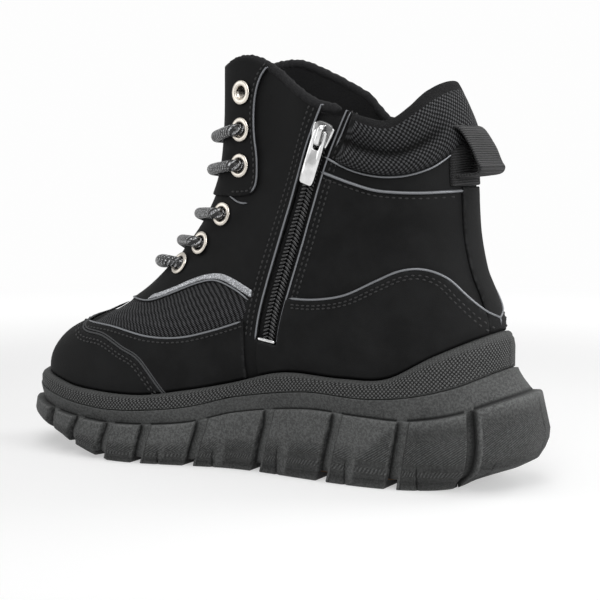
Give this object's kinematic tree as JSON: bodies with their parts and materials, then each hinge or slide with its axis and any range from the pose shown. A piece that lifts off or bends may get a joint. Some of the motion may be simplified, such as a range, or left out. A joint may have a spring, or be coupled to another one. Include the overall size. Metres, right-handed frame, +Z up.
{
  "type": "ankle boot",
  "caption": "Laced ankle boot for the right foot with a side zip, a padded collar, a heel pull loop and a thick lugged sole.",
  "frame": {"origin": "on the floor under the middle of the boot's bounding box", "axes": "+X towards the heel, -Y towards the medial (zip) side, +Z up"},
  "size_m": [0.2736, 0.1018, 0.192],
  "materials": {
    "nubuck": "matt, slightly cool black nubuck with a fine nap",
    "mesh": "coarse black sports mesh",
    "lining": "black fleece lining",
    "sole_rubber": "matt charcoal rubber",
    "tread_rubber": "matt tan rubber",
    "webbing": "ribbed black webbing",
    "zip_coil": "black coil teeth on woven tape",
    "zip_metal": "polished silver",
    "eyelet_metal": "satin warm silver",
    "lace": "round black braid with fine light flecks"
  },
  "bodies": {
    "boot": {"outsole": "sole_rubber", "tread_plate": "tread_rubber", "midsole": "sole_rubber", "upper": "nubuck", "insole": "lining", "tongue": "mesh", "toe_cap": "nubuck", "mudguard_medial": "nubuck", "mudguard_lateral": "nubuck", "counter_medial": "nubuck", "counter_lateral": "nubuck", "eyestay_medial": "nubuck", "eyestay_lateral": "nubuck", "backstay": "nubuck", "collar_pad": "mesh", "pull_loop": "webbing", "zip_tape": "zip_coil", "zip_chain": "zip_coil", "zip_slider": "zip_metal", "eyelet_medial_1": "eyelet_metal", "eyelet_medial_2": "eyelet_metal", "eyelet_medial_3": "eyelet_metal", "eyelet_medial_4": "eyelet_metal", "eyelet_medial_5": "eyelet_metal", "eyelet_medial_6": "eyelet_metal", "eyelet_lateral_1": "eyelet_metal", "eyelet_lateral_2": "eyelet_metal", "eyelet_lateral_3": "eyelet_metal", "eyelet_lateral_4": "eyelet_metal", "eyelet_lateral_5": "eyelet_metal", "eyelet_lateral_6": "eyelet_metal", "lace_1": "lace", "lace_2": "lace", "lace_3": "lace", "lace_4": "lace", "lace_5": "lace"},
    "pull_tab": {"zip_pull": "zip_metal"}
  },
  "joints": [
    {"name": "pull_tab_hinge", "type": "hinge", "parent": "boot", "child": "pull_tab", "pos_m": [0.04415, -0.03924, 0.15782], "axis": [-0.9343, -0.0709, 0.3495], "range_deg": [0, 150]}
  ]
}
